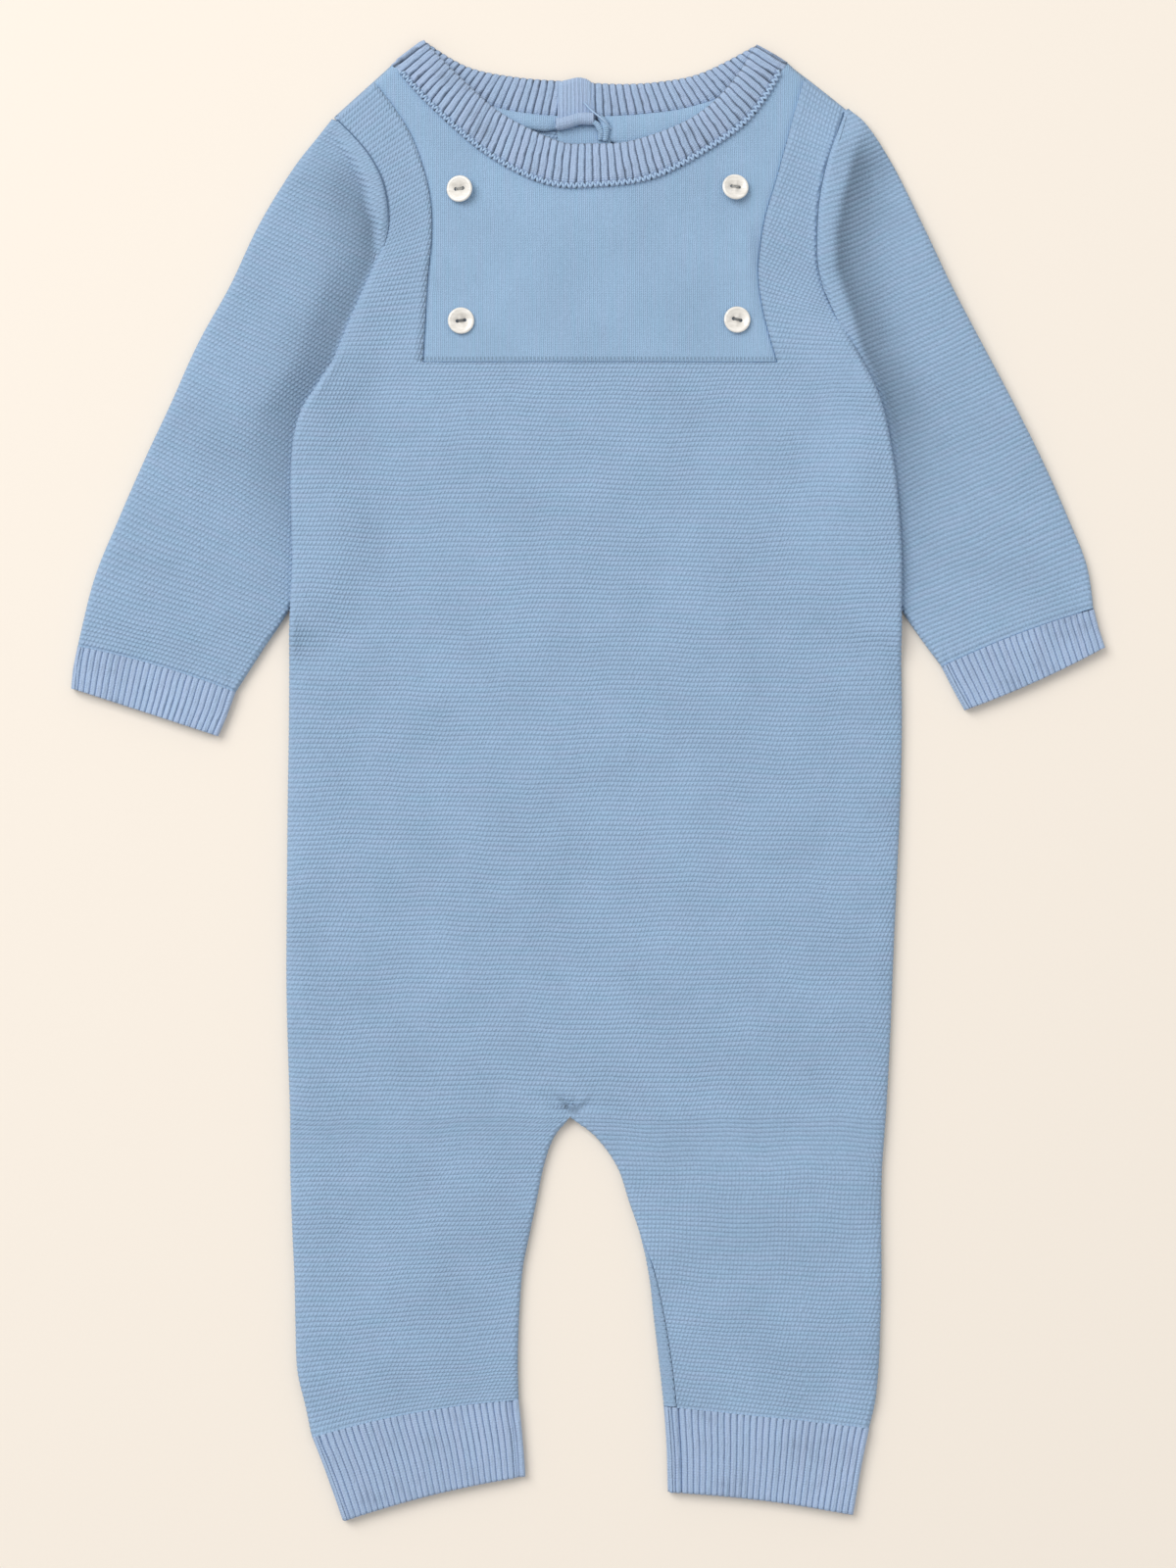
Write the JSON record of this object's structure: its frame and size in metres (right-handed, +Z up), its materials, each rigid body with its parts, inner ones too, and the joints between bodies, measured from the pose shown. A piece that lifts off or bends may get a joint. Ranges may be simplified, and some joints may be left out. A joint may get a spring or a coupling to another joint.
{
  "type": "baby romper",
  "caption": "Knitted long-sleeved baby romper laid flat on its back, with a buttoned bib between side straps and ribbed neckband and cuffs.",
  "frame": {"origin": "bottom centre of the part's box, on the surface that the romper lies on", "axes": "+X to the right as seen from above with the neck at the top, +Y from the ankles to the neck, +Z up"},
  "size_m": [0.406, 0.582, 0.0104],
  "materials": {
    "ridged_knit": "soft matt cotton knit, purl side out, with fine ridges across",
    "plain_knit": "soft matt cotton knit, smooth side out",
    "ribbed_knit": "soft matt cotton 1 x 1 rib",
    "shell_button": "polished mother-of-pearl"
  },
  "bodies": {
    "root": {"front_body": "ridged_knit", "back_body": "ridged_knit", "sleeve_left": "ridged_knit", "sleeve_right": "ridged_knit", "bib_panel": "plain_knit", "back_placket": "plain_knit", "neck_tape_left": "plain_knit", "neck_tape_right": "plain_knit", "neckband": "ribbed_knit", "sleeve_cuff_left": "ribbed_knit", "sleeve_cuff_right": "ribbed_knit", "ankle_cuff_left": "ribbed_knit", "ankle_cuff_right": "ribbed_knit", "button_upper_left": "shell_button", "button_upper_right": "shell_button", "button_lower_left": "shell_button", "button_lower_right": "shell_button"}
  },
  "joints": []
}
